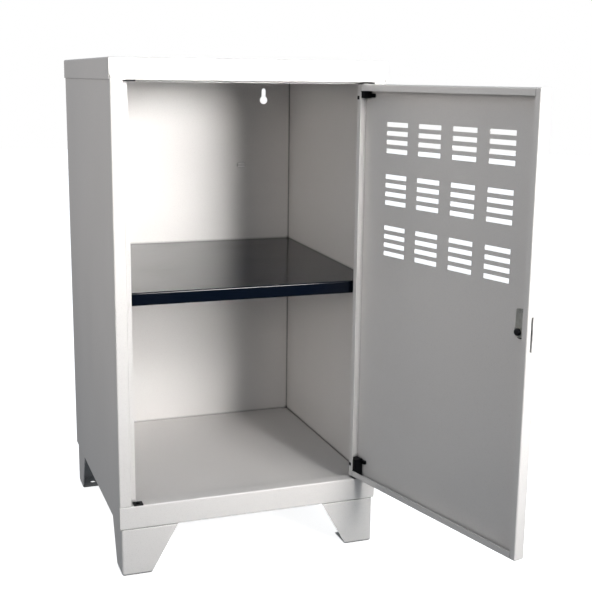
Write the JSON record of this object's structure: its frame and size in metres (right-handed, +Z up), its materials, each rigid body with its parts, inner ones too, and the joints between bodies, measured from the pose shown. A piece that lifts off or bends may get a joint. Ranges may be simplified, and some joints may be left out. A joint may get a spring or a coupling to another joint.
{
  "type": "locker cabinet",
  "caption": "Small folded-steel locker cabinet on tapered feet, with a vented hinged door, a cam lock, a dark sloping shelf and a deep-edged lid.",
  "frame": {"origin": "middle of the four floor-bolt holes in the feet, at floor level", "axes": "+X to the right along the front, +Y from the front to the back, +Z up; the front faces -Y"},
  "size_m": [0.4494, 0.7273, 0.72],
  "materials": {
    "white_paint": "satin powder coat",
    "black_paint": "satin powder coat",
    "black_plastic": "moulded, fine grain",
    "zinc_steel": "zinc plated",
    "lock_metal": "nickel plated",
    "black_steel": "black oxide"
  },
  "bodies": {
    "cabinet": {"left_side_panel": "white_paint", "right_side_panel": "white_paint", "back_panel": "white_paint", "floor_panel": "white_paint", "bottom_front_rail": "white_paint", "top_front_rail": "white_paint", "rear_base_rail": "white_paint", "top_lid": "white_paint", "shelf": "black_paint", "left_shelf_bracket": "white_paint", "right_shelf_bracket": "white_paint", "bottom_hinge_bush": "black_plastic", "top_hinge_bush": "black_plastic", "bottom_spare_bush": "black_plastic", "top_spare_bush": "black_plastic", "front_left_foot": "white_paint", "front_left_foot_screw": "zinc_steel", "front_left_foot_nut": "zinc_steel", "front_right_foot": "white_paint", "front_right_foot_screw": "zinc_steel", "front_right_foot_nut": "zinc_steel", "rear_left_foot": "white_paint", "rear_left_foot_screw": "zinc_steel", "rear_left_foot_nut": "zinc_steel", "rear_right_foot": "white_paint", "rear_right_foot_screw": "zinc_steel", "rear_right_foot_nut": "zinc_steel", "lower_left_rivet": "white_paint", "lower_right_rivet": "white_paint", "upper_left_rivet": "white_paint", "upper_right_rivet": "white_paint"},
    "door": {"door_panel": "white_paint", "bottom_hinge_pin": "zinc_steel", "top_hinge_pin": "zinc_steel", "bottom_hinge_block": "black_plastic", "top_hinge_block": "black_plastic", "lock_barrel": "lock_metal", "lock_nut": "zinc_steel"},
    "lock": {"lock_plug": "lock_metal", "lock_cam": "zinc_steel", "cam_washer": "zinc_steel", "cam_screw": "black_steel"}
  },
  "joints": [
    {"name": "door_hinge", "type": "hinge", "parent": "cabinet", "child": "door", "pos_m": [0.1674, -0.192, 0.39775], "axis": [0, 0, 1], "range_deg": [-103.5, 0]},
    {"name": "lock_turn", "type": "hinge", "parent": "door", "child": "lock", "pos_m": [0.24259, -0.5052, 0.39775], "axis": [0.9724, 0.2334, 0], "range_deg": [0, 90]}
  ]
}
